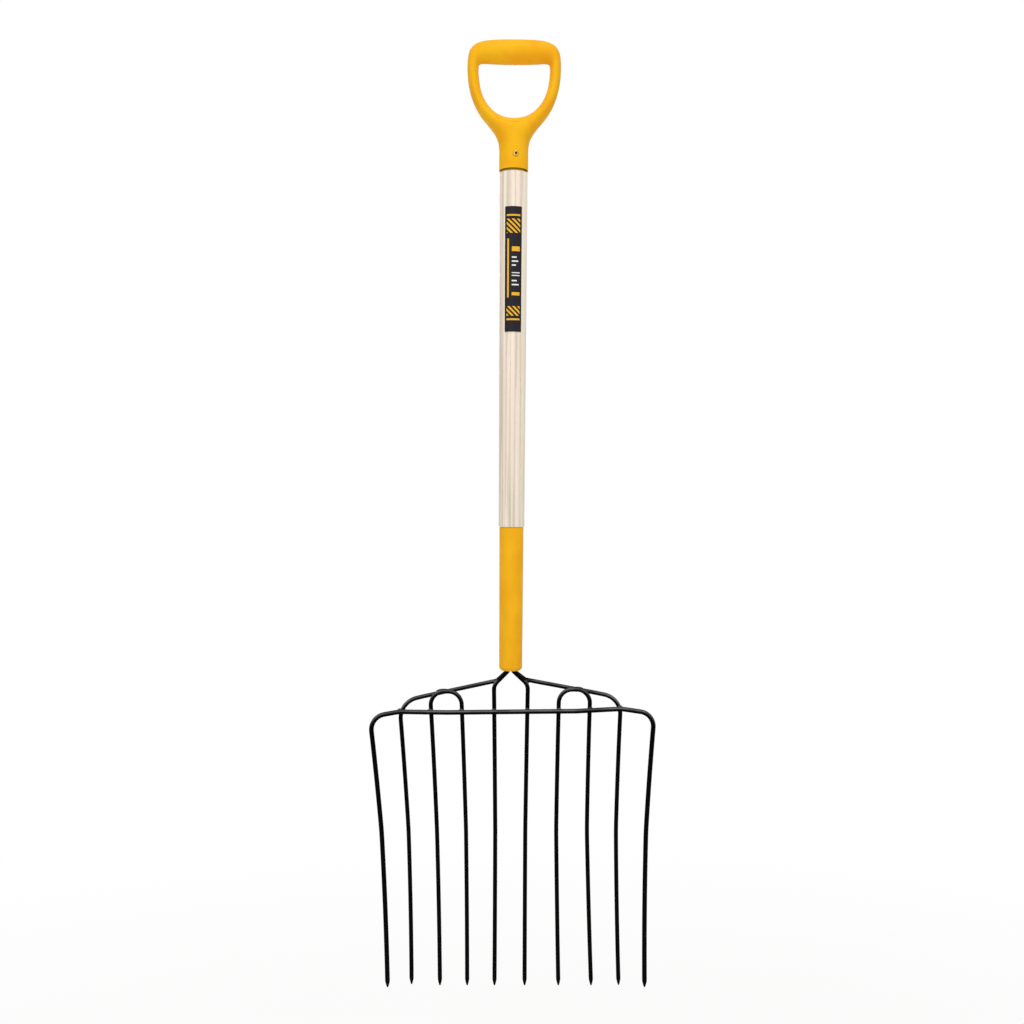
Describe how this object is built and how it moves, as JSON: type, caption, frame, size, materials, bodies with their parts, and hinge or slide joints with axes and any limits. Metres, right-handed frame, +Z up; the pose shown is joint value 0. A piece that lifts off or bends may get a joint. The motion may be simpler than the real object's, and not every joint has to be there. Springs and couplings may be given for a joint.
{
  "type": "ensilage fork",
  "caption": "Long fork for silage: a wide dished head of round steel tines on a cross bar, a ferruled ash shaft and a moulded D grip.",
  "frame": {"origin": "middle of the underside of the grip bar, where the fork hangs from a hook", "axes": "+Z up the shaft towards the grip bar, +X to the right as seen from the hollow side of the head, -Y towards the hollow side"},
  "size_m": [0.3626, 0.1028, 1.173],
  "materials": {
    "moulded_polypropylene": "fine moulded satin",
    "zinc_plated_steel": "yellow zinc plated",
    "lacquered_ash": "clear lacquer over straight grain",
    "label_film": "printed film",
    "ferrule_paint": "smooth gloss paint",
    "black_enamel": "black enamel"
  },
  "bodies": {
    "root": {"d_grip": "moulded_polypropylene", "grip_screw": "zinc_plated_steel", "ash_shaft": "lacquered_ash", "shaft_label": "label_film", "ferrule": "ferrule_paint", "outer_bow": "black_enamel", "left_shoulder_tine": "black_enamel", "right_shoulder_tine": "black_enamel", "left_hairpin": "black_enamel", "right_hairpin": "black_enamel", "left_centre_tine": "black_enamel", "right_centre_tine": "black_enamel", "bar_weld_2": "black_enamel", "bar_weld_3": "black_enamel", "bar_weld_4": "black_enamel", "bar_weld_5": "black_enamel", "bar_weld_6": "black_enamel", "bar_weld_7": "black_enamel", "bar_weld_8": "black_enamel", "bar_weld_9": "black_enamel", "left_hairpin_weld": "black_enamel", "right_hairpin_weld": "black_enamel", "left_branch_weld": "black_enamel", "right_branch_weld": "black_enamel"}
  },
  "joints": []
}
